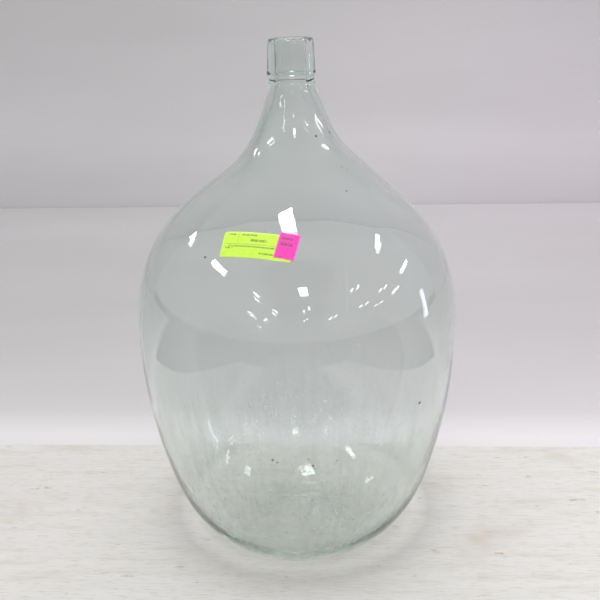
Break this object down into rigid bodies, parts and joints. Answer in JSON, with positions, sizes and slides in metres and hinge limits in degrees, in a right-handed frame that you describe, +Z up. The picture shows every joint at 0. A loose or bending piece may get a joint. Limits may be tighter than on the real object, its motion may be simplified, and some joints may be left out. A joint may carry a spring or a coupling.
{
  "type": "glass carboy",
  "caption": "Hand-blown glass demijohn carboy for fermenting and ageing wine or beer, with a narrow neck, a tooled lip, a pushed-up base and paper labels on the shoulder.",
  "frame": {"origin": "centre of the foot ring, on the plane the bottle stands on", "axes": "+Z up along the bottle's axis, out of the mouth; -Y towards the side with the labels"},
  "size_m": [0.3256, 0.3256, 0.531],
  "materials": {
    "body_glass": "fire-polished",
    "lip_glass": "fire-polished",
    "yellow_paper": "matte",
    "pink_paper": "matte"
  },
  "bodies": {
    "root": {"glass_body": "body_glass", "lip_collar": "lip_glass", "yellow_label": "yellow_paper", "pink_label": "pink_paper"}
  },
  "joints": []
}
